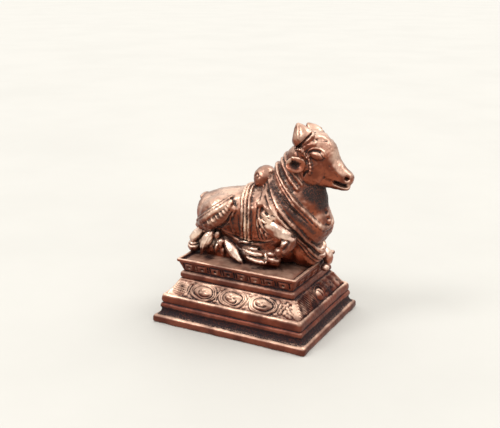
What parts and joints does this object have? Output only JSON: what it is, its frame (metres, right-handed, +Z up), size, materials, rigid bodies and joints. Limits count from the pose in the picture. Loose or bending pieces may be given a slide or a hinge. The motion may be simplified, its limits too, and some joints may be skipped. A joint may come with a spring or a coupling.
{
  "type": "nandi bull figure",
  "caption": "Small cast copper figure of a recumbent temple bull with harness and garlands, on a stepped oblong plinth with carved sides.",
  "frame": {"origin": "centre of the plinth's flat underside", "axes": "+X from the rump to the muzzle, +Y to the bull's left, +Z up"},
  "size_m": [0.0658, 0.048, 0.0735],
  "materials": {
    "antiqued_copper": "antiqued copper, blue-black in the hollows, red-brown on the broad faces and rubbed pale pink on the edges"
  },
  "bodies": {
    "root": {"nandi_figure": "antiqued_copper"}
  },
  "joints": []
}
